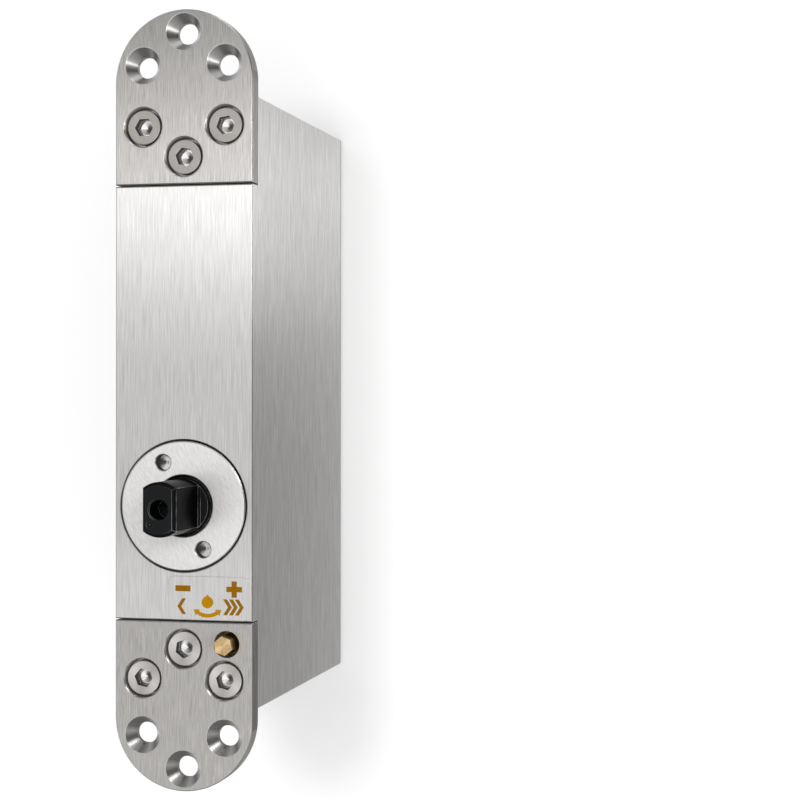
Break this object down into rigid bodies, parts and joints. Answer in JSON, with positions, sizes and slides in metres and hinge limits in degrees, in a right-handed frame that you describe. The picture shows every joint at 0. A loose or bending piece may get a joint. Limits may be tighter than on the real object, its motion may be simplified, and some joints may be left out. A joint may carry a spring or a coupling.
{
  "type": "hydraulic hinge",
  "caption": "Slim hydraulic door hinge block with flush round-ended mounting plates, a damped double-D spindle and a brass speed valve, built round a rack and pinion.",
  "frame": {"origin": "where the spindle axis meets the front face of the block", "axes": "+Z out of the front face along the spindle, +Y along the length of the block away from the speed valve, +X across its width with the speed valve on the +X side"},
  "size_m": [0.042, 0.2276, 0.122],
  "materials": {
    "brushed_block": "stainless steel, brushed along the length",
    "brushed_plate": "stainless steel, brushed along the length",
    "screw_steel": "plain stainless steel",
    "gland_steel": "stainless steel, brushed across the face",
    "black_spindle": "steel with a satin black finish",
    "valve_brass": "turned brass",
    "black_rubber": "nitrile rubber",
    "bush_bronze": "sintered bronze",
    "bearing_steel": "ground bearing steel",
    "machined_steel": "turned steel",
    "spring_steel": "oiled spring steel"
  },
  "bodies": {
    "housing": {"body_block": "brushed_block", "upper_end_plate": "brushed_plate", "lower_end_plate": "brushed_plate", "upper_plate_screws": "screw_steel", "lower_plate_screws": "screw_steel", "gland_ring": "gland_steel", "gland_o_ring": "black_rubber", "shaft_seal": "black_rubber", "front_bush": "bush_bronze", "thrust_housing_washer": "bearing_steel", "rear_bush": "bush_bronze", "return_spring": "spring_steel", "spring_seat": "machined_steel", "damper_bore_plug": "machined_steel", "spring_bore_plug": "machined_steel", "damper_plug_o_ring": "black_rubber", "spring_plug_o_ring": "black_rubber", "gallery_plug": "screw_steel"},
    "spindle": {"spindle": "black_spindle", "thrust_shaft_washer": "bearing_steel"},
    "ball_cage": {"thrust_cage": "bush_bronze", "thrust_balls": "bearing_steel"},
    "damper_piston": {"damper_piston": "machined_steel", "damper_piston_ring": "bush_bronze", "check_ball": "bearing_steel", "check_retainer": "valve_brass"},
    "spring_piston": {"spring_piston": "machined_steel"},
    "speed_valve": {"speed_valve": "valve_brass", "valve_o_ring": "black_rubber"}
  },
  "joints": [
    {"name": "spindle_turn", "type": "hinge", "parent": "housing", "child": "spindle", "pos_m": [0, 0, 0], "axis": [0, 0, 1], "range_deg": [0, 120], "stiffness_Nm_per_rad": 4},
    {"name": "cage_turn", "type": "hinge", "parent": "housing", "child": "ball_cage", "pos_m": [0, 0, 0], "axis": [0, 0, 1], "range_deg": [0, 60.5]},
    {"name": "damper_slide", "type": "slide", "parent": "housing", "child": "damper_piston", "axis": [0, 1, 0], "range_m": [0, 0.0174]},
    {"name": "spring_slide", "type": "slide", "parent": "housing", "child": "spring_piston", "axis": [0, 1, 0], "range_m": [0, 0.0174], "deforming": ["return_spring"]},
    {"name": "speed_valve_turn", "type": "hinge", "parent": "housing", "child": "speed_valve", "pos_m": [0.0132, -0.04, 0], "axis": [0, 0, 1], "range_deg": [-180, 180]}
  ],
  "couplings": [
    {"joint": "cage_turn", "follows": "spindle_turn", "ratio": 0.5},
    {"joint": "damper_slide", "follows": "spindle_turn", "m_per_rad": 0.00825},
    {"joint": "spring_slide", "follows": "spindle_turn", "m_per_rad": 0.00825}
  ]
}
